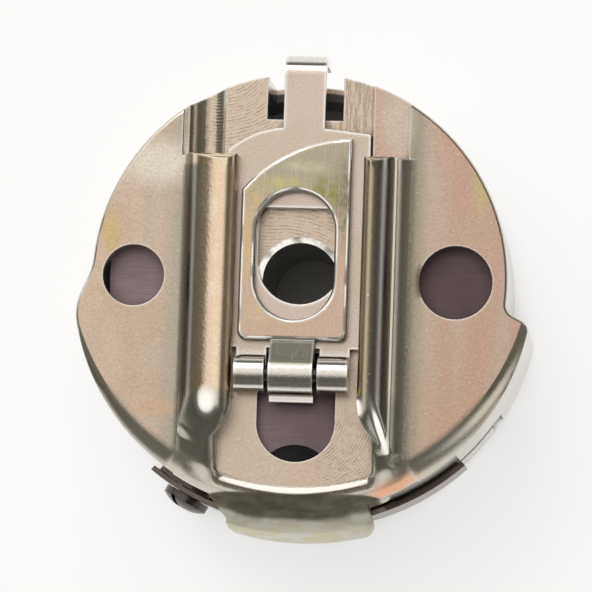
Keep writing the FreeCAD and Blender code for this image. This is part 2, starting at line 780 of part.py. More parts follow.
def make_latch_lever():
    """Lever with its oval hole and the tongue that rolls over the pin."""
    body = new_body("latch_lever")
    plate = new_sketch(body, "lever_plate", "XY_Plane", offset="lever_foot")
    outline(plate, [
        ("-lever_left + lever_end_round", "-lever_end"),
        ("lever_right - lever_end_round", "-lever_end", "lever_end_round", 1),
        ("lever_right", "-lever_end + lever_end_round"),
        ("lever_right", "lever_head", "lever_head_round", 1),
        ("-lever_left", "lever_corner"),
        ("-lever_left", "-lever_end + lever_end_round", "lever_end_round", 1),
    ])
    sweep(body, "Pad", plate, "lever_top - lever_foot")
    oval = new_sketch(body, "oval", "XY_Plane")
    outline(oval, [
        ("-oval_x + oval_half", "-oval_lower"),
        ("-oval_x + oval_half", "oval_upper", "oval_half", 1),
        ("-oval_x", "oval_upper + oval_half", "oval_half", 1),
        ("-oval_x - oval_half", "oval_upper"),
        ("-oval_x - oval_half", "-oval_lower", "oval_half", 1),
        ("-oval_x", "-oval_lower - oval_half", "oval_half", 1),
    ])
    sweep(body, "Pocket", oval, "rail_length", reverse=True)
    top = size("lever_top")
    dress(body, "Fillet", "lever_edges", "lever_edge", lambda e: level(e, top))
    web = new_sketch(body, "tongue_web", "YZ_Plane", offset="-tongue_left")
    outline(web, [
        ("-tongue_root", "lever_foot"),
        ("-tongue_root", "lever_top - lever_edge"),
        ("-tongue_rise", "lever_top - lever_edge"),
        ("-tongue_crest_y", "tongue_crest_z"),
        ("-pin_y", "pin_z"),
        ("-tongue_under", "lever_foot"),
    ])
    sweep(body, "Pad", web, "tongue_left + tongue_right")
    toe = new_sketch(body, "toe", "YZ_Plane", offset="-tongue_left")
    rectangle(toe, "-toe_y", "toe_foot", "-pin_y", "toe_top")
    sweep(body, "Pad", toe, "tongue_left + tongue_right")
    roll = new_sketch(body, "roll", "YZ_Plane", offset="-tongue_left")
    circle(roll, "-pin_y", "pin_z", "tongue_radius")
    sweep(body, "Pad", roll, "tongue_left + tongue_right")
    eye = new_sketch(body, "pin_hole", "YZ_Plane", offset="-tongue_left")
    circle(eye, "-pin_y", "pin_z", "tongue_bore")
    sweep(body, "Pocket", eye, "tongue_left + tongue_right", reverse=True)
    return body


def make_hinge_pin():
    """Pin through both ears and the tongue."""
    body = new_body("hinge_pin")
    pin = new_sketch(body, "pin", "YZ_Plane", offset="-ear_left_outer")
    circle(pin, "-pin_y", "pin_z", "pin_radius")
    sweep(body, "Pad", pin, "ear_left_outer + ear_right_outer")
    return body


def bend(start, corner, end):
    """The arc from start to end whose tangents meet at a corner as far from both."""
    middle = (start + end) * 0.5
    weight = (middle - start).Length / (corner - start).Length
    return Part.Arc(start, (middle + corner * weight) * (1 / (1 + weight)), end).toShape()


def biarc(start, start_way, end, end_way):
    """Two arcs that leave start and reach end along the given unit vectors, and meet smoothly."""
    chord = end - start
    ways = start_way + end_way
    lead = ways.dot(ways) - 4
    along = chord.dot(ways)
    reach = (along - math.sqrt(along ** 2 - lead * chord.dot(chord))) / lead
    near = start + start_way * reach
    far = end - end_way * reach
    joint = (near + far) * 0.5
    return [bend(start, near, joint), bend(joint, far, end)]


def make_latch_spring():
    """Coil that pushes the slide's tab, one tube on quarter-turn biarcs along Y."""
    turns = int(size("spring_turns"))
    radius = size("spring_radius")
    wire = size("spring_wire")
    start = -size("spring_foot") + wire
    pitch = (size("tab_near") - wire - start) / turns

    def point(quarter):
        angle = quarter * math.pi / 2
        across = -size("groove_x") + radius * math.cos(angle)
        up = size("groove_axis") + radius * math.sin(angle)
        return FreeCAD.Vector(across, start + pitch * quarter / 4, up)

    def way(quarter):
        angle = quarter * math.pi / 2
        climb = pitch / (2 * math.pi)
        return FreeCAD.Vector(-radius * math.sin(angle), climb, radius * math.cos(angle)).normalize()

    arcs = []
    for quarter in range(4 * turns):
        arcs += biarc(point(quarter), way(quarter), point(quarter + 1), way(quarter + 1))
    section = Part.Wire(Part.makeCircle(wire, point(0), way(0)))
    item = doc.addObject("Part::Feature", "latch_spring")
    item.Label = "latch_spring"
    item.Shape = Part.Wire(arcs).makePipeShell([section], True, False)
    fine = 4
    steps = [point(step / fine) for step in range(4 * turns * fine)]
    half_turn = 2 * fine
    gaps = [here.distanceToPoint(there) for n, here in enumerate(steps) for there in steps[n + half_turn:]]
    print(f"latch_spring: least gap between turns {min(gaps) - 2 * wire:.2f} mm")
    return item


def make_tension_spring():
    """Leaf round the outside of the wall, screwed down at one end, with a tapered free tip."""
    body = new_body("tension_spring")
    leaf = new_sketch(body, "leaf", "XZ_Plane", turn="leaf_middle")
    rectangle(leaf, "leaf_inner", "leaf_foot", "leaf_outer", "leaf_top")
    turned(body, "Revolution", leaf, "leaf_span")
    for name, angle in (
            ("fixing_clearance", "fixing_angle - 270"),
            ("adjusting_clearance", "adjusting_angle - 270")):
        hole = new_sketch(body, name, "XZ_Plane", turn=angle)
        circle(hole, "0", "leaf_axis", "leaf_hole")
        sweep(body, "Pocket", hole, "thread_reach", reverse=True)
    tip = new_sketch(body, "tip", "XZ_Plane", turn="tip_angle - 270")
    outline(tip, [
        ("-tip_half - tip_half", "leaf_top"),
        ("tip_half", "leaf_top - tip_height"),
        ("tip_half", "leaf_top + clear_over"),
        ("-tip_half - tip_half", "leaf_top + clear_over"),
    ])
    sweep(body, "Pocket", tip, "thread_reach", reverse=True)
    return body


def make_screw(name, angle, shank, head):
    """Slotted screw with a domed head, made along Z and then turned to point into the wall."""
    body = new_body(name)
    profile = new_sketch(body, name + "_profile", "XZ_Plane")
    outline(profile, [
        ("0", "screw_tip"),
        (shank, "screw_tip"),
        (shank, "leaf_outer"),
        (head, "leaf_outer"),
        (head, "leaf_outer + head_rim", "head_dome", 1),
        ("0", "leaf_outer + head_height"),
    ])
    turned(body, "Revolution", profile)
    driver = new_sketch(body, name + "_driver", "XY_Plane", offset="leaf_outer + head_height - driver_depth")
    rectangle(driver, "-driver_half", "-head_dome", "driver_half", "head_dome")
    sweep(body, "Pocket", driver, "head_height", reverse=True)
    bearing = math.radians(size(angle))
    outward = FreeCAD.Vector(math.cos(bearing), math.sin(bearing), 0)
    spin = FreeCAD.Rotation(FreeCAD.Vector(0, 0, 1), outward)
    body.Placement = FreeCAD.Placement(FreeCAD.Vector(0, 0, size("leaf_axis")), spin)
    return body


pieces = [
    make_case_body(),
    make_centre_sleeve(),
    make_anti_spin_spring(),
    make_latch_slide(),
    make_latch_lever(),
    make_hinge_pin(),
    make_latch_spring(),
    make_tension_spring(),
    make_screw("tension_fixing_screw", "fixing_angle", "fixing_shank", "fixing_head"),
    make_screw("tension_adjusting_screw", "adjusting_angle", "adjusting_shank", "adjusting_head"),
]
doc.recompute()

for item in doc.Objects:
    if {"Invalid", "Error"} & set(item.State):
        raise RuntimeError(f"{item.Label} failed: {item.State}")
for piece in pieces:
    shape = piece.Shape
    if shape.isNull() or not shape.isValid() or len(shape.Solids) != 1:
        raise RuntimeError(f"{piece.Label} isn't one valid solid")
    print(f"{piece.Label}: {shape.Volume:.1f} mm3")
    shape.exportStep(f"parts/{piece.Label}.step")
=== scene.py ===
# %% [markdown]
# # A lockstitch bobbin case
#
# This lesson dresses a small steel bobbin case, about 26 mm across. Every solid comes from the CAD
# model and stays where it is. Blender adds the finishes, the coil of the latch spring, the light and
# the camera. One Blender unit is one metre, so a millimetre is 0.001.

# %% Load the frame
import math

import bmesh
import bpy
from mathutils import Matrix, Vector


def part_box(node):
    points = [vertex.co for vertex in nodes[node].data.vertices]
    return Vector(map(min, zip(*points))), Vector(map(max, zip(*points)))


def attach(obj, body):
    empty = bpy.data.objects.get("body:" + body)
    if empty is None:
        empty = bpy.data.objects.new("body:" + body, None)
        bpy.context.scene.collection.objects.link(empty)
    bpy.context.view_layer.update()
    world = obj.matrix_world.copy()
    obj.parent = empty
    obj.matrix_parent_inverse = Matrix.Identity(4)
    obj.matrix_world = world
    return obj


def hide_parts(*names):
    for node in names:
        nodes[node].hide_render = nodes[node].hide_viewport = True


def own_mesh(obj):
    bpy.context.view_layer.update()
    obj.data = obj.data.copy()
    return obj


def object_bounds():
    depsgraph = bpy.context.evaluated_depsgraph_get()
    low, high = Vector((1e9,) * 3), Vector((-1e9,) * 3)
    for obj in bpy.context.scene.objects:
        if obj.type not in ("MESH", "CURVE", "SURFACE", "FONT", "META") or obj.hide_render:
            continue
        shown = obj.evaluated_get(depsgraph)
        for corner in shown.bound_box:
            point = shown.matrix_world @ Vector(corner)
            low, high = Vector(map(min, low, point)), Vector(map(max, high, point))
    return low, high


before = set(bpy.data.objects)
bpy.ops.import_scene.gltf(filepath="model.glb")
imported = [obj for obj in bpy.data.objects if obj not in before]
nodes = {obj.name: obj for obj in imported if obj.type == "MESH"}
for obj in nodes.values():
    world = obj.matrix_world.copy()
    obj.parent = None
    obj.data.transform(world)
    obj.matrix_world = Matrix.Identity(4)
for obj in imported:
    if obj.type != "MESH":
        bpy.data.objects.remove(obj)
cad_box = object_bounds()
MM = 0.001
print("pieces:", ", ".join(sorted(nodes)))

# %% [markdown]
# ## The camera
#
# The photograph looks almost straight down on the latch face from about 30 cm, a little from the
# lower right, and the case is turned a trace clockwise. A long lens keeps the circle round. The
# camera could be placed by eye, but a direction, a distance and one known point, the middle of the
# front face, give it exactly: the lens sets the scale and the shift puts that point on its pixel.

# %% Camera
PHOTO_SIDE = 592
FACE_POINT = Vector((0, 0, 10.4)) * MM
FACE_PIXEL = (299.1, 278.9)
FACE_PIXELS_PER_MM = 17.4
VIEW_DIRECTION = Vector((0.083, -0.103, 1)).normalized()
VIEW_DISTANCE = 290 * MM
VIEW_ROLL = math.radians(1.9)
SENSOR = 36

level_right = Vector((0, 1, 0)).cross(VIEW_DIRECTION).normalized()
level_up = VIEW_DIRECTION.cross(level_right)
view_right = level_right * math.cos(VIEW_ROLL) + level_up * math.sin(VIEW_ROLL)
view_up = level_up * math.cos(VIEW_ROLL) - level_right * math.sin(VIEW_ROLL)

lens = bpy.data.cameras.new("photo_camera")
lens.sensor_width = SENSOR
lens.lens = FACE_PIXELS_PER_MM / MM * VIEW_DISTANCE * SENSOR / PHOTO_SIDE
lens.shift_x = (PHOTO_SIDE / 2 - FACE_PIXEL[0]) / PHOTO_SIDE
lens.shift_y = (FACE_PIXEL[1] - PHOTO_SIDE / 2) / PHOTO_SIDE
lens.clip_start = 10 * MM
camera = bpy.data.objects.new("photo_camera", lens)
bpy.context.scene.collection.objects.link(camera)
view_turn = Matrix((view_right, view_up, VIEW_DIRECTION)).transposed().to_4x4()
camera.matrix_world = Matrix.Translation(FACE_POINT + VIEW_DIRECTION * VIEW_DISTANCE) @ view_turn
bpy.context.scene.camera = camera
print(f"lens {lens.lens:.1f} mm, shift {lens.shift_x:.4f} {lens.shift_y:.4f}")

# %% [markdown]
# ## Helpers for the finishes
#
# A finish is a tree of shader nodes. Written out in full, each node takes four or five lines, so a
# small class adds a node, fills its inputs with values or links, and gives back its output. A mask is
# a number from 0 to 1 that says where a tint or a surface holds.

# %% Shader helper
class Shader:
    """A tree of shader nodes, with short names for the steps that add nodes to it."""

    def __init__(self, tree):
        self.tree = tree

    def put(self, socket, value):
        """Link a socket, or set its constant."""
        if isinstance(value, bpy.types.NodeSocket):
            self.tree.links.new(value, socket)
        else:
            socket.default_value = value

    def add(self, kind, output, inputs, **settings):
        """Add a node, fill its inputs by name or number, and give back one output."""
        node = self.tree.nodes.new(kind)
        for name, value in settings.items():
            setattr(node, name, value)
        for key, value in inputs.items():
            self.put(node.inputs[key], value)
        return node.outputs[output]

    def split(self, vector):
        """The X, Y and Z of a vector."""
        node = self.tree.nodes.new("ShaderNodeSeparateXYZ")
        self.tree.links.new(vector, node.inputs[0])
        return node.outputs["X"], node.outputs["Y"], node.outputs["Z"]

    def math(self, step, first, second=0.5, third=0.5):
        """One sum, product or other step on numbers."""
        return self.add("ShaderNodeMath", 0, {0: first, 1: second, 2: third}, operation=step)

    def vector(self, step, first, second=(0, 0, 0), scale=1.0):
        """One step on vectors that gives a vector."""
        inputs = {0: first, 1: second, 3: scale}
        return self.add("ShaderNodeVectorMath", "Vector", inputs, operation=step)

    def measure(self, step, first, second=(0, 0, 0)):
        """One step on vectors that gives a number."""
        return self.add("ShaderNodeVectorMath", "Value", {0: first, 1: second}, operation=step)

    def ramp(self, value, low, high):
        """0 below low, 1 above high, and a smooth rise between; low may be above high."""
        numbers = {"Value": value, "From Min": low, "From Max": high}
        return self.add("ShaderNodeMapRange", "Result", numbers, interpolation_type="SMOOTHSTEP")

    def span(self, value, low, high):
        """A 0 to 1 value moved to run from low to high."""
        numbers = {"Value": value, "To Min": low, "To Max": high}
        return self.add("ShaderNodeMapRange", "Result", numbers)

    def pick(self, mask, first, second):
        """First number where the mask is 0, second where it is 1."""
        return self.add("ShaderNodeMix", 0, {0: mask, 2: first, 3: second})

    def blend(self, mask, first, second, blend_type="MIX"):
        """First colour where the mask is 0, second where it is 1."""
        colours = {0: mask, 6: first, 7: second}
        return self.add("ShaderNodeMix", 2, colours, data_type="RGBA", blend_type=blend_type)

    def tone(self, colour, value):
        """A colour times one number."""
        grey = self.add("ShaderNodeCombineColor", 0, dict.fromkeys(range(3), value))
        return self.blend(1.0, colour, grey, "MULTIPLY")


print("shader helper ready")

# %% [markdown]
# ### Masks and patterns in millimetres
#
# Every finish here is metal with stains, bands, spots or cutter marks at a certain place. The patterns
# could be set in Blender's metres, but the numbers would be tiny. They read Object coordinates scaled
# to millimetres instead, so a size in a finish is a size on the case.

# %% Pattern helper
class Metal(Shader):
    """A metal material that knows its place on the case, with masks and patterns to lay on it."""

    def __init__(self, name):
        self.material = bpy.data.materials.new(name)
        self.material.use_nodes = True
        super().__init__(self.material.node_tree)
        self.shader = self.tree.nodes["Principled BSDF"]
        self.shader.inputs["Metallic"].default_value = 1.0
        source = self.tree.nodes.new("ShaderNodeTexCoord")
        self.place = self.add("ShaderNodeMapping", "Vector", {"Vector": source.outputs["Object"]})
        self.place.node.inputs["Scale"].default_value = (1 / MM, 1 / MM, 1 / MM)
        self.x, self.y, self.z = self.split(self.place)
        self.up = self.split(source.outputs["Normal"])[2]

    def both(self, first, second):
        """Where two masks hold at once."""
        return self.math("MULTIPLY", first, second)

    def either(self, first, second):
        """Where one mask or the other holds."""
        return self.math("MAXIMUM", first, second)

    def off(self, mask):
        """Where a mask doesn't hold."""
        return self.math("SUBTRACT", 1.0, mask)

    def weaker(self, mask, share):
        """A mask that goes no higher than the share."""
        return self.math("MULTIPLY", mask, share)

    def band(self, value, low, low_inside, high_inside, high):
        """1 between the two inside limits, and a smooth fall to 0 at the outer ones."""
        return self.both(self.ramp(value, low, low_inside), self.ramp(value, high, high_inside))

    def level(self):
        """The faces of the piece that look straight up."""
        return self.ramp(self.up, 0.95, 0.995)

    def noise(self, size, detail=2.0, turn=0.0):
        """Soft random value, about 0.3 to 0.7, with cells of the given size along X, Y and Z."""
        cells = self.add("ShaderNodeMapping", "Vector", {"Vector": self.place})
        cells.node.inputs["Scale"].default_value = [1 / length for length in size]
        cells.node.inputs["Rotation"].default_value = (0, 0, turn)
        return self.add("ShaderNodeTexNoise", "Fac", {"Vector": cells, "Scale": 1.0, "Detail": detail})

    def spot(self, middle, half, turn=0.0):
        """Soft oval on the front face: 1 inside, 0 beyond its half lengths, turned about Z."""
        settings = {"vector_type": "TEXTURE"}
        oval = self.add("ShaderNodeMapping", "Vector", {"Vector": self.place}, **settings)
        oval.node.inputs["Location"].default_value = (*middle, 0)
        oval.node.inputs["Rotation"].default_value = (0, 0, turn)
        oval.node.inputs["Scale"].default_value = (*half, 1000)
        return self.ramp(self.measure("LENGTH", oval), 1.0, 0.2)

    def on_face(self):
        """The place on the front face: X and Y, with no height."""
        return self.add("ShaderNodeCombineXYZ", 0, {0: self.x, 1: self.y})

    def rings(self, middle, spacing):
        """Cutter marks: slightly uneven circles round a point of the front face, 0 to 1."""
        reach = self.measure("DISTANCE", self.on_face(), (*middle, 0))
        drift = self.math("MULTIPLY", self.noise((2, 2, 2), 3.0), 9)
        turns = self.math("MULTIPLY_ADD", reach, math.tau / spacing, drift)
        lines = self.math("MULTIPLY_ADD", self.math("SINE", turns), 0.5, 0.5)
        return self.both(lines, self.ramp(self.noise((0.4, 0.4, 0.4)), 0.35, 0.65))


print("pattern helper ready")

# %% [markdown]
# ### Edges, corners and the finished surface
#
# Edge wear with painted highlights, and painted shade in corners, follow the shape of a piece, so they
# are found by rays: the Bevel node tells where an edge is, and ambient occlusion tells where a corner
# is. The last step links everything to the shader.
# It can also turn the shading normal, which makes a form look rounder than its facets.

# %% Surface helper
RAYS = 6


class Finish(Metal):
    """A metal with edge wear and painted highlights, painted shade in corners, and a finished surface."""

    def open_share(self, reach, lean=None):
        """How open a point is, within a reach in millimetres: 0 in a tight corner, 1 in the open."""
        inputs = {"Distance": reach * MM}
        if lean:
            inputs["Normal"] = lean
        return self.add("ShaderNodeAmbientOcclusion", "AO", inputs, samples=RAYS)

    def rounded(self, radius):
        """The normal with the edges rounded by a radius in millimetres, a number or a socket."""
        if isinstance(radius, bpy.types.NodeSocket):
            radius = self.math("MULTIPLY", radius, MM)
        else:
            radius = radius * MM
        return self.add("ShaderNodeBevel", "Normal", {"Radius": radius}, samples=RAYS)

    def edges(self, reach):
        """1 on an edge, 0 on a flat: how far the normal turns when edges are rounded by the reach."""
        flat = self.add("ShaderNodeNewGeometry", "Normal", {})
        return self.ramp(self.measure("DOT_PRODUCT", self.rounded(reach), flat), 0.995, 0.92)

    def facing(self, direction):
        """A direction on the piece as a shading normal, which turns with the piece."""
        spaces = {"vector_type": "NORMAL", "convert_from": "OBJECT", "convert_to": "WORLD"}
        return self.add("ShaderNodeVectorTransform", 0, {0: direction}, **spaces)

    def finish(self, colour, roughness, heights, edge=None, turned=()):
        """Link colour and roughness, round the edges, raise each (height, millimetres) as bump, and
        turn the shading normal by each (mask, normal)."""
        self.put(self.shader.inputs["Base Color"], colour)
        self.put(self.shader.inputs["Roughness"], roughness)
        surface = self.rounded(edge) if edge else None
        for height, depth in heights:
            inputs = {"Height": height, "Distance": depth * MM, "Strength": 1.0}
            if surface:
                inputs["Normal"] = surface
            surface = self.add("ShaderNodeBump", "Normal", inputs)
        for mask, aim in turned:
            sides = {0: mask, 4: surface, 5: aim}
            surface = self.vector("NORMALIZE", self.add("ShaderNodeMix", 1, sides, data_type="VECTOR"))
        self.put(self.shader.inputs["Normal"], surface)
        print("finish", self.material.name, "with", len(self.tree.nodes), "nodes")
        return self.material


def dress(material, *names):
    """Give CAD nodes a finish by their material slots."""
    for name in names:
        for place in nodes[name].material_slots:
            place.material = material


print("surface helper ready, with", RAYS, "rays a point")

# %% [markdown]
# ## The case: where each finish lies
#
# The cup is nickel-plated steel. Its flats are satin, its rails, edges and collar are polished, and
# its inside is painted dark as shade. The mesh could be cut into patches with a material each, but
# their borders would be hard. One finish covers the whole cup instead: masks from height, from
# distance and from the way a face points tell the plate, the floors, the rails and the collar apart.

# %% Case masks
FLOOR = 9.7
RAIL = 11.4
case = Finish("case_nickel")
level_face = case.level()
tilted = case.off(level_face)
on_floor = case.band(case.z, FLOOR - 0.9, FLOOR - 0.6, FLOOR + 0.1, FLOOR + 0.4)
above_floor = case.ramp(case.z, FLOOR + 0.1, FLOOR + 0.3)
on_rail = case.ramp(case.z, RAIL - 0.1, RAIL + 0.1)
on_shoulder = case.both(tilted, case.ramp(case.y, -7.6, -8.6))
to_right = case.ramp(case.x, -1, 1)
beside = case.math("ABSOLUTE", case.x)
square = case.math("MULTIPLY_ADD", case.x, case.x, case.math("POWER", case.y, 2))
from_axis = case.math("SQRT", square)
bore_lip = case.both(tilted, case.ramp(from_axis, 2.7, 2.6))
rail_strip = case.both(case.band(beside, 3.4, 3.7, 6.8, 7.1), case.ramp(case.y, 6.6, 6.2))
soft_form = case.both(above_floor, case.either(rail_strip, case.ramp(case.y, -6.0, -7.0)))
sharp_form = case.off(soft_form)
print("case masks:", len(case.tree.nodes), "nodes")

# %% [markdown]
# ### Satin plate
#
# The two plates beside the rails are a warm beige with fine speckle, soft upright bands, and yellow,
# pale and olive stains. A painted image would give this, but it would be tied to one size. Noise gives
# the bands and the patches, and a few soft ovals put the stains where the real ones are. The right
# plate is painted darker than the left as shade, and the coves at the feet of the rails get painted
# shade.

# %% Case satin
PLATE_LEFT = (0.69, 0.54, 0.43, 1)
PLATE_RIGHT_SHADED = (0.61, 0.41, 0.325, 1)
PLATE_BAND = (0.59, 0.51, 0.42, 1)
PLATE_PATCH = (0.60, 0.45, 0.33, 1)
MILLED_FLOOR = (0.72, 0.62, 0.51, 1)
COVE_SHADES = (
    ((-8.4, -6.9, -6.76, -6.56), (0.50, 0.45, 0.37, 1)),
    ((5.89, 6.08, 6.2, 7.6), (0.36, 0.33, 0.26, 1)))
PLATE_STAINS = (
    ((-10.9, 2.4), (0.9, 2.0), (0.68, 0.52, 0.27, 1)),
    ((-8.3, 6.6), (3.2, 2.0), (0.80, 0.73, 0.63, 1)),
    ((-8.0, -7.6), (1.8, 0.8), (0.66, 0.48, 0.34, 1)),
    ((5.4, 9.2), (1.5, 3.0), (0.67, 0.56, 0.47, 1)),
    ((10.4, 5.5), (1.0, 2.4), (0.60, 0.48, 0.27, 1)))

speckle = case.noise((0.15, 0.15, 0.15))
streaks = case.noise((0.3, 40, 0.4), 3.0)
bands = case.ramp(case.noise((1.6, 13, 5), turn=0.06), 0.40, 0.62)
patches = case.ramp(case.noise((5, 4, 5), 3.0), 0.45, 0.62)
# painted shade: the plates darken from left to right, as light falls from the upper left
satin = case.blend(case.ramp(case.x, -9, 9), PLATE_LEFT, PLATE_RIGHT_SHADED)
satin = case.blend(case.weaker(bands, 0.7), satin, PLATE_BAND)
satin = case.blend(case.weaker(patches, 0.5), satin, PLATE_PATCH)
satin = case.blend(case.weaker(on_floor, 0.6), satin, MILLED_FLOOR)
# painted shade along the coves at the feet of the rails
for limits, tint in COVE_SHADES:
    satin = case.blend(case.both(case.band(case.x, *limits), above_floor), satin, tint)
for middle, half, tint in PLATE_STAINS:
    satin = case.blend(case.spot(middle, half), satin, tint)
print("satin plate with", len(PLATE_STAINS), "stains")

# %% [markdown]
# ### Polished rails and shoulder
#
# The rails and the rounded shoulder are polished and show gold, olive and a streak of copper. A bare
# mirror would show only the plain light of this scene, so part of that colour is painted in as
# reflection tint, in streaks along the rails. The copper streak is a painted reflection, and the
# outer sides and the feet of the rails are painted darker as shade.

# %% Case polish
RAIL_ROSE = (0.74, 0.57, 0.44, 1)
RAIL_GOLD = (0.76, 0.61, 0.42, 1)
RAIL_PALE = (0.78, 0.66, 0.50, 1)
RIGHT_RAIL = (0.52, 0.43, 0.31, 1)
RIGHT_RAIL_SIDE_SHADE = (0.38, 0.36, 0.34, 1)
LEFT_RAIL_SIDE_SHADE = (0.30, 0.285, 0.25, 1)
POLISH_GREY = (0.63, 0.58, 0.51, 1)
POLISH_WARM = (0.65, 0.585, 0.48, 1)
SHOULDER_GREY = (0.60, 0.57, 0.50, 1)
SHOULDER_WARM = (0.66, 0.61, 0.52, 1)
RAIL_FOOT_SHADE = (0.46, 0.44, 0.38, 1)
HEEL = (0.42, 0.40, 0.34, 1)
COPPER_REFLECTION = (0.80, 0.45, 0.28, 1)
YELLOW_DAB = (0.60, 0.48, 0.10, 1)

in_streaks = case.ramp(streaks, 0.40, 0.60)
# painted reflection: gold, rose and pale streaks along the rails, darker on the right rail
rail_reflection_tint = case.blend(in_streaks, RAIL_ROSE, RAIL_GOLD)
rail_reflection_tint = case.blend(case.ramp(case.noise((0.8, 1.6, 1), 3.0), 0.45, 0.7), rail_reflection_tint, RAIL_PALE)
rail_reflection_tint = case.blend(to_right, rail_reflection_tint, RIGHT_RAIL)
# painted shade: the outer side of the right rail is darker
rail_reflection_tint = case.blend(case.ramp(case.x, 4.1, 4.7), rail_reflection_tint, RIGHT_RAIL_SIDE_SHADE)
polish = case.blend(in_streaks, POLISH_GREY, POLISH_WARM)
colour = case.blend(on_rail, case.blend(level_face, polish, satin), rail_reflection_tint)
# painted shade on the outer side of the left rail
left_rail_side_shade = case.both(rail_strip, case.ramp(case.x, -5.75, -5.9))
left_rail_side_shade = case.both(left_rail_side_shade, case.ramp(case.z, 10.5, 10.6))
colour = case.blend(left_rail_side_shade, colour, LEFT_RAIL_SIDE_SHADE)
colour = case.blend(on_shoulder, colour, case.blend(streaks, SHOULDER_GREY, SHOULDER_WARM))
# painted shade: the rails darken towards their feet
rail_foot_shade = case.both(case.ramp(case.z, 10.5, 10.7), case.ramp(case.y, -6.2, -7.4))
colour = case.blend(rail_foot_shade, colour, RAIL_FOOT_SHADE)
colour = case.blend(case.spot((5.3, -10.0), (1.2, 1.1)), colour, HEEL)
# painted reflection: a copper streak on the shoulder
copper_reflection = case.both(case.spot((5.6, -11.9), (2.6, 0.75), turn=0.52), on_shoulder)
colour = case.blend(case.both(copper_reflection, case.ramp(case.z, 8.9, 9.3)), colour, COPPER_REFLECTION)
colour = case.blend(case.spot((3.65, -6.5), (0.3, 0.3)), colour, YELLOW_DAB)
print("polished rails and shoulder:", len(case.tree.nodes), "nodes so far")

# %% [markdown]
# ### Cutter marks
#
# The floors were milled, and the cutter left arcs: at the upper left, above the bore, and at the foot
# of the slot. The strip at the upper right has slanted scratches instead. Arcs are rings round a
# point, a sine of the distance, broken up by noise so that no line is perfect.

# %% Cutter marks
MARK = (0.40, 0.33, 0.25, 1)
milled = case.both(on_floor, level_face)
above_latch = case.ramp(case.y, 6.6, 7.2)
left_marks = case.both(above_latch, case.ramp(case.x, -1.2, -1.6))
left_depth = case.band(case.z, FLOOR - 1.2, FLOOR - 0.9, FLOOR + 0.5, FLOOR + 0.75)
left_marks = case.both(left_marks, left_depth)
right_marks = case.both(milled, case.both(above_latch, case.ramp(case.x, 1.2, 1.6)))
bore_marks = case.both(milled, case.band(case.y, 0.2, 0.8, 4.4, 5.0))
foot_marks = case.both(milled, case.both(case.ramp(case.y, -6.8, -8.0), case.ramp(case.x, 0.8, 2.0)))
slanted = case.ramp(case.noise((0.07, 1.3, 1), turn=0.6), 0.5, 0.62)
cuts = case.both(left_marks, case.rings((-5.0, 13.4), 0.19))
for mask, pattern in (
        (foot_marks, case.rings((0.0, -7.6), 0.16)),
        (bore_marks, case.rings((-1.2, -3.5), 0.2)),
        (right_marks, slanted)):
    cuts = case.math("MULTIPLY_ADD", mask, pattern, cuts)
colour = case.blend(case.weaker(cuts, 0.4), colour, MARK)
print("cutter marks on four floors:", len(case.tree.nodes), "nodes so far")

# %% [markdown]
# ### Speckle, edge wear and highlights, and painted shade
#
# Satin nickel glitters in fine grains. Sharp edges get a pale tint that is partly wear and partly
# painted highlight, and corners get painted shade. The edges could be marked by hand. The Bevel node
# finds them by itself, as the places where a rounded normal leaves the flat one, and ambient occlusion
# finds the corners. The cup's inside, out of the light, is painted dark as shade.

# %% Case wear, edge highlights and painted shade
NICK = (0.88, 0.82, 0.74, 1)
WORN_EDGE_HIGHLIGHT = (0.94, 0.92, 0.88, 1)
BARE_EDGE_HIGHLIGHT = (0.97, 0.96, 0.94, 1)
CORNER_SHADE = (0.05, 0.045, 0.04, 1)
INSIDE_SHADE = (0.09, 0.082, 0.08, 1)
POLISH_FLECK = 0.24
SATIN_FLECK = 0.72

fleck = case.pick(case.both(level_face, case.off(on_rail)), POLISH_FLECK, SATIN_FLECK)
fleck = case.math("MULTIPLY_ADD", case.math("SUBTRACT", speckle, 0.5), fleck, 1.0)
colour = case.tone(colour, fleck)
nicks = case.both(level_face, case.ramp(case.noise((0.16, 0.16, 0.16), 3.0), 0.66, 0.74))
colour = case.blend(nicks, colour, NICK)
# edge wear and painted highlight: a pale tint on the sharp edges
edge_wear_highlight = case.both(case.edges(0.2), sharp_form)
colour = case.blend(case.weaker(edge_wear_highlight, 0.8), colour, WORN_EDGE_HIGHLIGHT)
# painted shade in the corners
corner_shade = case.both(case.ramp(case.open_share(0.7), 0.60, 0.25), sharp_form)
colour = case.blend(corner_shade, colour, CORNER_SHADE)
# painted shade: the cup's inside is dark
inside = case.both(case.ramp(case.z, 8.8, 8.4), case.ramp(from_axis, 11.75, 11.65))
colour = case.blend(inside, colour, INSIDE_SHADE)
print("wear and dirt:", len(case.tree.nodes), "nodes so far")

# %% [markdown]
# ### The roll from collar to brow
#
# Below the pocket the collar rolls over into the brow in one soft form: first dark, where it mirrors
# the dim room, and then light, where it mirrors the horizon. Part of that dark and light is painted:
# the collar gets a mottled painted shade and the brow a paler painted reflection. The solids keep a
# plain step there. The step could be smoothed by moving vertices, but the solids stay as they are, so
# the shading normal is turned instead: it leans outwards in two stages as the distance from the axis
# grows. The leans are in radians.

# %% Collar and brow
COLLAR_SHADE = (0.46, 0.43, 0.36, 1)
COLLAR_LIGHT = (0.68, 0.65, 0.57, 1)
BROW_GREY = (0.84, 0.81, 0.74, 1)
BROW_YELLOW = (0.80, 0.75, 0.57, 1)
COLLAR_LEAN = 0.45
BROW_LEAN = 0.31
WAVE = 0.5

roll = case.both(case.ramp(case.y, -12.2, -12.5), case.ramp(beside, 6.4, 4.2))
roll = case.both(roll, case.ramp(case.up, -0.3, -0.1))
collar_shade_mottle = case.ramp(case.noise((1.2, 0.8, 1), 3.0), 0.35, 0.65)
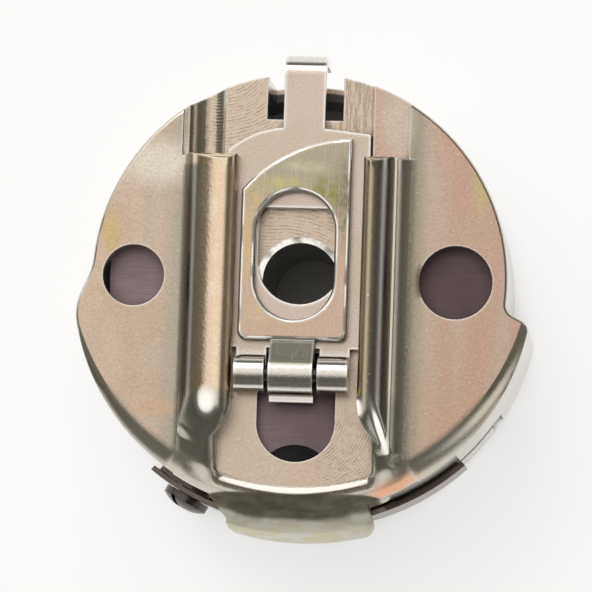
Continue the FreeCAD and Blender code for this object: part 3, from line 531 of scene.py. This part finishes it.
# painted shade on the collar, mottled
colour = case.blend(roll, colour, case.blend(collar_shade_mottle, COLLAR_SHADE, COLLAR_LIGHT))
brow_mottle = case.ramp(case.noise((1.6, 0.5, 1)), 0.42, 0.6)
brow_reflection_tint = case.blend(brow_mottle, BROW_GREY, BROW_YELLOW)
# painted reflection: the brow is paler towards its outer edge
colour = case.blend(case.ramp(case.y, -13.4, -14.6), colour, brow_reflection_tint)

waves = case.noise((2.5, 1.5, 1))
wavy = case.math("MULTIPLY_ADD", waves, WAVE, case.math("SUBTRACT", from_axis, WAVE / 2))
lean = case.math("MULTIPLY", case.ramp(from_axis, 12.25, 12.6), COLLAR_LEAN)
lean = case.math("MULTIPLY_ADD", case.ramp(wavy, 13.1, 14.1), BROW_LEAN, lean)
outward = case.vector("NORMALIZE", case.on_face())
outward = case.vector("SCALE", outward, scale=case.math("SINE", lean))
upward = case.add("ShaderNodeCombineXYZ", 0, {2: case.math("COSINE", lean)})
rolled = case.facing(case.vector("ADD", outward, upward))
print("roll leans to", round(math.degrees(COLLAR_LEAN + BROW_LEAN)), "degrees")

# %% [markdown]
# ### Polished lands
#
# A few small places are polished level and flash white: the lower edge of the pocket, the ends of the
# rails, and the lip of the bore. They are too soft and small for facets. A mask turns their shading
# normal straight up, so that they mirror the bright patch over the case, as a level spot would, and
# gives them a pale tint, which is a painted highlight. The lip of the bore is painted in light and
# dark patches, the light ones a painted highlight. The rim of the plate at the upper left gets a
# paler and less metallic tint, a painted highlight.

# %% Case lands
LAND_HIGHLIGHT = (0.95, 0.94, 0.91, 1)
LIP_DARK = (0.26, 0.25, 0.23, 1)
LIP_HIGHLIGHT = (0.92, 0.90, 0.87, 1)
RAIL_ENDS = (
    ((-4.99, -7.28), (0.85, 1.15), 0.0),
    ((3.67, -7.46), (0.45, 1.1), 0.1),
    ((5.0, -8.74), (0.4, 2.7), 0.32))

# painted highlight: the upper-left rim of the plate is paler and less metallic
rim = case.both(case.both(tilted, case.ramp(case.z, 9.9, 10.1)), case.ramp(from_axis, 12.0, 12.3))
rim = case.both(rim, case.both(case.ramp(case.y, -3.0, -1.0), case.ramp(case.x, 4.0, 1.0)))
colour = case.blend(rim, colour, BARE_EDGE_HIGHLIGHT)
highlight_lands = case.both(case.ramp(case.y, -10.6, -10.9), case.ramp(beside, 4.7, 3.6))
highlight_lands = case.both(highlight_lands, case.band(from_axis, 11.9, 12.0, 12.25, 12.45))
for middle, half, angle in RAIL_ENDS:
    highlight_lands = case.either(highlight_lands, case.spot(middle, half, angle))
highlight_lands = case.either(case.both(highlight_lands, above_floor), bore_lip)
# painted highlight: a pale tint on the lands
colour = case.blend(highlight_lands, colour, LAND_HIGHLIGHT)
lip_mottle = case.ramp(case.noise((1.1, 1.1, 1.1)), 0.35, 0.62)
# painted highlight on the bore lip, in light and dark patches
colour = case.blend(bore_lip, colour, case.blend(lip_mottle, LIP_DARK, LIP_HIGHLIGHT))
print("lands: pocket edge, bore lip and", len(RAIL_ENDS), "rail ends")

# %% [markdown]
# ### The case's surface
#
# Roughness follows the masks: satin plates scatter, rails and shoulder mirror. The rails have a slight
# crown across, which a bump of the square of the distance from the middle gives. The Bevel node rounds
# the shading of the edges, by little on the plates and by much on the soft collar, where its radius
# grows with the form.

# %% Case surface
LEFT_CROWN = -4.44
RIGHT_CROWN = 3.68
LEFT_CROWN_BEND = -0.10
RIGHT_CROWN_BEND = -0.18
SHOULDER_FALL = -0.24
SHARP = 0.06
POCKET_EDGE = 0.1
SOFT = 0.5
SOFT_COLLAR = 0.8
SOFT_BROW = 1.1

roughness = case.pick(level_face, case.span(streaks, 0.08, 0.24), case.span(speckle, 0.24, 0.46))
roughness = case.pick(on_rail, roughness, case.span(streaks, 0.10, 0.22))
roughness = case.pick(on_shoulder, roughness, case.span(speckle, 0.14, 0.30))
for mask, value in ((edge_wear_highlight, 0.35), (highlight_lands, 0.14), (roll, 0.16)):
    roughness = case.pick(mask, roughness, value)
case.put(case.shader.inputs["Metallic"], case.span(rim, 1.0, 0.25))

softness = case.pick(case.ramp(case.y, -10.8, -11.8), SOFT, SOFT_COLLAR)
softness = case.pick(soft_form, SHARP, softness)
pocket_edge = case.both(case.band(case.y, -12.5, -12.2, -10.9, -10.6), case.ramp(beside, 4.9, 4.6))
softness = case.pick(pocket_edge, softness, POCKET_EDGE)
softness = case.pick(case.ramp(case.y, -13.0, -13.8), softness, SOFT_BROW)

off_middle = case.math("SUBTRACT", case.x, case.pick(to_right, LEFT_CROWN, RIGHT_CROWN))
crown_bend = case.pick(to_right, LEFT_CROWN_BEND, RIGHT_CROWN_BEND)
crown = case.math("MULTIPLY", case.math("POWER", off_middle, 2), crown_bend)
crown = case.both(crown, case.ramp(case.z, 10.9, 11.3))
front = case.both(case.ramp(case.y, -10.0, -11.0), case.ramp(beside, 6.5, 5.0))
fall = case.both(front, case.math("MULTIPLY", case.ramp(from_axis, 11.9, 12.9), SHOULDER_FALL))
heights = [(crown, 1.0), (fall, 1.0), (case.both(speckle, level_face), 0.008), (cuts, 0.006)]
turned = [(roll, rolled), (highlight_lands, case.facing((0, 0, 1)))]
case.finish(colour, roughness, heights, edge=softness, turned=turned)
dress(case.material, "case_body")

# %% [markdown]
# ## The slide
#
# The slide is pressed from plated sheet like the cup, with the same satin flats, and its ears are
# polished where the pin goes through. Its edges get a pale tint, partly rubbed bright by the rails and
# partly painted highlight. The same helpers make it: grain for the satin, the Bevel node for the edges
# and occlusion for the painted shade in the corners.

# %% Slide finish
SLIDE_ROSE = (0.67, 0.56, 0.50, 1)
SLIDE_OLIVE = (0.63, 0.54, 0.44, 1)
EAR_GREY = (0.78, 0.74, 0.69, 1)
LATCH_CORNER_SHADE = (0.06, 0.055, 0.05, 1)
LATCH_GRAIN = (0.11, 0.11, 0.11)

slide = Finish("slide_nickel")
level = slide.level()
grain = slide.noise(LATCH_GRAIN)
cloud = slide.ramp(slide.noise((3, 4, 4)), 0.42, 0.62)
satin = slide.blend(cloud, SLIDE_ROSE, SLIDE_OLIVE)
colour = slide.blend(slide.both(level, slide.ramp(slide.y, -4.4, -4.0)), EAR_GREY, satin)
colour = slide.tone(colour, slide.span(grain, 0.70, 1.30))
edge_wear_highlight = slide.edges(0.34)
# edge wear and painted highlight on the slide's edges
colour = slide.blend(slide.weaker(edge_wear_highlight, 0.95), colour, BARE_EDGE_HIGHLIGHT)
# painted shade in the slide's corners
colour = slide.blend(slide.ramp(slide.open_share(0.5), 0.35, 0.12), colour, LATCH_CORNER_SHADE)
roughness = slide.pick(level, 0.12, slide.span(grain, 0.24, 0.40))
roughness = slide.pick(edge_wear_highlight, roughness, 0.28)
slide.finish(colour, roughness, [(slide.both(grain, level), 0.006)], edge=SHARP)
dress(slide.material, "latch_slide")

# %% [markdown]
# ## The lever
#
# The lever is the piece that the fingers lift, so its plating has worn through to yellow and olive
# stains and fine scratches. Its rounded edge shows a bright line with a dark one beside it. The bright
# line is the inner part of the rounding: there the shading normal is turned to face up from the lever,
# and it turns with the lever when that is lifted. The edges and the bright line also get a pale tint,
# partly wear and partly painted highlight. The web above the tongue's barrel and the lever's sloped
# faces are painted dark olive as shade, and the corners get painted shade.

# %% Lever finish
LEVER_ROSE = (0.61, 0.46, 0.36, 1)
LEVER_OLIVE = (0.45, 0.405, 0.31, 1)
LEVER_STAINS = (
    ((1.5, 4.9), (1.4, 1.5), (0.30, 0.30, 0.09, 1)),
    ((-2.6, 2.6), (1.1, 4.2), (0.66, 0.51, 0.25, 1)),
    ((2.6, 4.4), (0.9, 4.0), (0.25, 0.225, 0.15, 1)),
    ((-1.0, 5.3), (1.8, 0.8), (0.58, 0.53, 0.22, 1)),
    ((0.2, 6.4), (1.8, 0.5), (0.60, 0.55, 0.40, 1)),
    ((-2.2, -2.0), (1.4, 1.0), (0.66, 0.53, 0.33, 1)))
TONGUE_GREY = (0.78, 0.75, 0.70, 1)
WEB_SHADE = (0.34, 0.325, 0.27, 1)
SCRATCH = (0.72, 0.68, 0.60, 1)

lever = Finish("lever_nickel")
level = lever.level()
grain = lever.noise(LATCH_GRAIN)
mottle = lever.span(lever.ramp(lever.noise((0.45, 0.45, 0.45), 3.0), 0.35, 0.65), 0.35, 1.0)
satin = lever.blend(lever.ramp(lever.y, 2.4, 5.6), LEVER_ROSE, LEVER_OLIVE)
for middle, half, tint in LEVER_STAINS:
    satin = lever.blend(lever.both(lever.spot(middle, half), mottle), satin, tint)
# painted shade: dark olive on the web above the tongue's barrel and on the sloped faces
tongue_with_web_shade = lever.blend(lever.ramp(lever.y, -5.4, -5.0), TONGUE_GREY, WEB_SHADE)
colour = lever.blend(lever.both(level, lever.ramp(lever.y, -3.8, -3.4)), tongue_with_web_shade, satin)
scratches = lever.ramp(lever.noise((0.05, 2.2, 1), turn=-1.2), 0.62, 0.68)
colour = lever.blend(lever.weaker(scratches, 0.5), colour, SCRATCH)
colour = lever.tone(colour, lever.span(grain, 0.70, 1.30))

rounding = lever.both(lever.ramp(lever.z, 10.88, 10.96), lever.ramp(lever.y, -3.8, -3.6))
edge_wear_highlight = lever.either(lever.edges(0.30), lever.both(rounding, lever.ramp(lever.up, 0.99, 0.95)))
# edge wear and painted highlight on the lever's edges and bright line
colour = lever.blend(lever.weaker(edge_wear_highlight, 0.9), colour, BARE_EDGE_HIGHLIGHT)
# painted shade in the lever's corners
colour = lever.blend(lever.ramp(lever.open_share(0.4), 0.30, 0.10), colour, LATCH_CORNER_SHADE)
bright_line = lever.both(rounding, lever.band(lever.up, 0.78, 0.85, 0.98, 0.998))
uneven = lever.span(lever.ramp(lever.noise((1.6, 1.6, 1.6)), 0.4, 0.6), 0.35, 1.0)
roughness = lever.pick(level, 0.16, lever.span(grain, 0.22, 0.38))
roughness = lever.pick(lever.band(lever.y, -5.0, -4.8, -3.6, -3.3), roughness, 0.5)
roughness = lever.pick(edge_wear_highlight, roughness, 0.28)
turned = [(lever.both(bright_line, uneven), lever.facing((0, 0, 1)))]
lever.finish(colour, roughness, [(lever.both(grain, level), 0.006)], edge=SHARP, turned=turned)
dress(lever.material, "latch_lever")

# %% [markdown]
# ## Plain steel pieces and the disc
#
# The sleeve, pin, screws and leaf are plain steel with fine level marks, and their corners get painted
# shade. One loop makes these finishes, since only the tint differs. The disc inside is dark, brushed
# spring steel, painted darker towards the right as shade. The walls of the windows shade it from the
# upper left, and occlusion that leans that way paints that shade.

# %% Plain steel finishes
for slot_name, tint, members in (
        ("sleeve", (0.52, 0.50, 0.47, 1), ["centre_sleeve"]),
        ("pin", (0.62, 0.60, 0.57, 1), ["hinge_pin"]),
        ("screw", (0.14, 0.12, 0.11, 1), ["tension_fixing_screw", "tension_adjusting_screw"]),
        ("leaf", (0.20, 0.155, 0.135, 1), ["tension_spring"])):
    steel = Finish(slot_name + "_steel")
    marks = steel.noise((4, 4, 0.08))
    darker = [0.7 * value for value in tint[:3]] + [1]
    colour = steel.blend(marks, tint, darker)
    # painted shade in the corners
    colour = steel.blend(steel.ramp(steel.open_share(0.8), 0.7, 0.3), colour, CORNER_SHADE)
    steel.finish(colour, steel.span(marks, 0.15, 0.35), [(marks, 0.003)], edge=0.05)
    dress(steel.material, *members)

# %% Disc finish
DISC_DARK = (0.27, 0.20, 0.22, 1)
DISC_LIGHT = (0.35, 0.27, 0.29, 1)
DISC_RIGHT_SHADE = (0.15, 0.105, 0.115, 1)
DISC_SHADE = (0.03, 0.025, 0.03, 1)
SHADE_SIDE = (-0.62, 0.62, 0.48)

disc = Finish("disc_brushed")
brush = disc.noise((3, 0.10, 1), 3.0, turn=0.15)
cloud = disc.noise((1.5, 1.5, 1))
colour = disc.blend(disc.ramp(brush, 0.3, 0.7), DISC_DARK, DISC_LIGHT)
# painted shade: the disc is darker towards the right
colour = disc.blend(disc.ramp(disc.x, -8, 8), colour, DISC_RIGHT_SHADE)
colour = disc.tone(colour, disc.span(cloud, 0.80, 1.20))
colour = disc.blend(disc.ramp(disc.open_share(2.5, SHADE_SIDE), 0.55, 0.15), colour, DISC_SHADE)
disc.finish(colour, disc.span(brush, 0.35, 0.5), [(brush, 0.002)])
dress(disc.material, "anti_spin_spring")

# %% [markdown]
# ## The latch spring
#
# A small wire coil lies in the groove under the left rail and pushes the slide up. A spin with a
# step along the axis draws a coil in one call: a ring of wire goes round and climbs at once. The
# CAD coil stays, hidden, and this finer one, fixed to the case, takes its place. The CAD coil
# stays for collision, and this finer one replaces it and shortens with the slide.

# %% Latch spring coil
SPRING_WIRE = 0.15 * MM
SPRING_TURNS = 11
STEPS_PER_TURN = 24
WIRE_SIDES = 10
spring_low, spring_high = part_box("latch_spring")
spring_middle = (spring_low + spring_high) / 2
spring_axis = Vector((spring_middle.x, 0, spring_middle.z))
spring_length = spring_high.y - spring_low.y
spring_radius = (spring_high.x - spring_low.x) / 2 - SPRING_WIRE
climb = (spring_length - 2 * SPRING_WIRE) / (SPRING_TURNS * STEPS_PER_TURN)

coil = bmesh.new()
ring = bmesh.ops.create_circle(coil, cap_ends=True, radius=SPRING_WIRE, segments=WIRE_SIDES)
start = spring_axis + Vector((spring_radius, spring_low.y + SPRING_WIRE, 0))
bmesh.ops.translate(coil, vec=start, verts=ring["verts"])
bmesh.ops.spin(
    coil, geom=coil.verts[:] + coil.edges[:] + coil.faces[:], cent=spring_axis, axis=(0, -1, 0),
    dvec=(0, climb, 0), angle=2 * math.pi * SPRING_TURNS, steps=SPRING_TURNS * STEPS_PER_TURN,
    space=Matrix.Identity(4))
bmesh.ops.remove_doubles(coil, verts=coil.verts[:], dist=SPRING_WIRE / 100)
bmesh.ops.recalc_face_normals(coil, faces=coil.faces[:])
mesh = bpy.data.meshes.new("latch_spring_coil")
coil.to_mesh(mesh)
coil.free()
mesh.shade_smooth()
spring = bpy.data.objects.new("latch_spring_coil", mesh)
bpy.context.scene.collection.objects.link(spring)
print("coil", len(mesh.polygons), "faces, box", [round(v / MM, 2) for v in spring.dimensions])

# %% Latch spring finish
WIRE_LIGHT = (0.50, 0.48, 0.45, 1)
WIRE_DARK = (0.40, 0.38, 0.36, 1)
wire = Finish("spring_wire")
drawn = wire.noise((0.3, 0.05, 0.3))
colour = wire.blend(drawn, WIRE_LIGHT, WIRE_DARK)
spring.data.materials.append(wire.finish(colour, wire.span(drawn, 0.15, 0.35), [(drawn, 0.002)]))
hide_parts("latch_spring")
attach(spring, "case")
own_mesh(spring)

# %% [markdown]
# ## Floor
#
# The case lies on white paper. Paper that is lit only by the lamps would come out grey, so its shader
# adds a glow that only the camera and the polished metal see, and the lamps stay at a plain level.
# Ambient occlusion takes that glow away where the case covers the paper, so the bore and the gap
# behind the leaf spring stay dark.

# %% Floor
FLOOR_SIDE = 4.0
PAPER_GLOW = 0.69
PAPER_GREY = (0.55, 0.55, 0.55, 1)
COVERED_REACH = 14 * MM
COVERED_RAYS = 8
paper_grid = bmesh.new()
bmesh.ops.create_grid(paper_grid, x_segments=1, y_segments=1, size=FLOOR_SIDE / 2)
bmesh.ops.translate(paper_grid, vec=(0, 0, cad_box[0].z), verts=paper_grid.verts[:])
paper_mesh = bpy.data.meshes.new("paper")
paper_grid.to_mesh(paper_mesh)
paper_grid.free()
paper = bpy.data.objects.new("paper", paper_mesh)
bpy.context.scene.collection.objects.link(paper)

white = Finish("white_paper")
white.shader.inputs["Metallic"].default_value = 0.0
white.shader.inputs["Roughness"].default_value = 0.9
white.shader.inputs["Specular IOR Level"].default_value = 0.0
white.shader.inputs["Base Color"].default_value = PAPER_GREY
white.shader.inputs["Emission Color"].default_value = (1, 1, 1, 1)
rays = white.tree.nodes.new("ShaderNodeLightPath")
seen = white.either(rays.outputs["Is Camera Ray"], rays.outputs["Is Glossy Ray"])
reach = {"Distance": COVERED_REACH}
open_sky = white.add("ShaderNodeAmbientOcclusion", "AO", reach, samples=COVERED_RAYS)
glow = white.both(seen, white.ramp(open_sky, 0.2, 0.5))
white.put(white.shader.inputs["Emission Strength"], white.weaker(glow, PAPER_GLOW))
paper_mesh.materials.append(white.material)
print("paper", FLOOR_SIDE, "m square")

# %% [markdown]
# ## Light
#
# Polished metal shows whatever stands round it. The reflections in the photograph suggest a bright
# patch over the case, a soft white panel beyond its top edge, a smaller light at the lower right, a
# pale horizon and a dim room. The world draws these from the direction of each ray, with no picture of
# a room. One area lamp is the panel, so that it also throws the faint shadow to the lower right.

# %% World
DIM = (0.12, 0.115, 0.10, 1)
LESS_DIM = (0.20, 0.195, 0.175, 1)
HORIZON = (0.80, 0.80, 0.79, 1)
GLOWS = (
    ((-0.75, 0.80, 0.75), 12, 30, (0.95, 0.95, 0.95, 1)),
    ((0.66, -0.48, 0.57), 5, 17, (0.95, 0.95, 0.94, 1)),
    ((-0.16, 0.28, 1), 17, 31, (1.09, 1.055, 1.01, 1)))
studio = bpy.data.worlds.new("studio")
bpy.context.scene.world = studio
studio.use_nodes = True
room = Shader(studio.node_tree)
ray = room.add("ShaderNodeTexCoord", "Generated", {})


def glow_towards(direction, core, edge):
    """1 within the core angle of a direction, 0 beyond the edge angle, in degrees."""
    along = room.measure("DOT_PRODUCT", ray, Vector(direction).normalized())
    return room.ramp(along, math.cos(math.radians(edge)), math.cos(math.radians(core)))


clutter = room.add("ShaderNodeTexNoise", "Fac", {"Vector": ray, "Scale": 3.0, "Detail": 2.0})
clutter = room.add("ShaderNodeMapRange", "Result", {"Value": clutter, "From Min": 0.35, "From Max": 0.65})
ray_height = room.split(ray)[2]
shade = room.blend(clutter, DIM, LESS_DIM)
shade = room.blend(room.ramp(ray_height, 0.30, 0.05), shade, HORIZON)
for direction, core, edge, tint in GLOWS:
    shade = room.blend(glow_towards(direction, core, edge), shade, tint)
room.put(room.tree.nodes["Background"].inputs["Color"], shade)
print("room shader of", len(room.tree.nodes), "nodes")

# %% Panel lamp
PANEL_PLACE = (-0.12, 0.34, 0.36)
panel_light = bpy.data.lights.new("panel", "AREA")
panel_light.shape = "RECTANGLE"
panel_light.size = 0.34
panel_light.size_y = 0.22
panel_light.energy = 0.42
panel = bpy.data.objects.new("panel", panel_light)
bpy.context.scene.collection.objects.link(panel)
panel.location = PANEL_PLACE
panel.rotation_mode = "QUATERNION"
panel.rotation_quaternion = panel.location.to_track_quat("Z", "Y")
print("panel at", PANEL_PLACE)

# %% [markdown]
# ## The view
#
# The Standard view shows colours as they are written.

# %% View transform
bpy.context.scene.view_settings.view_transform = "Standard"
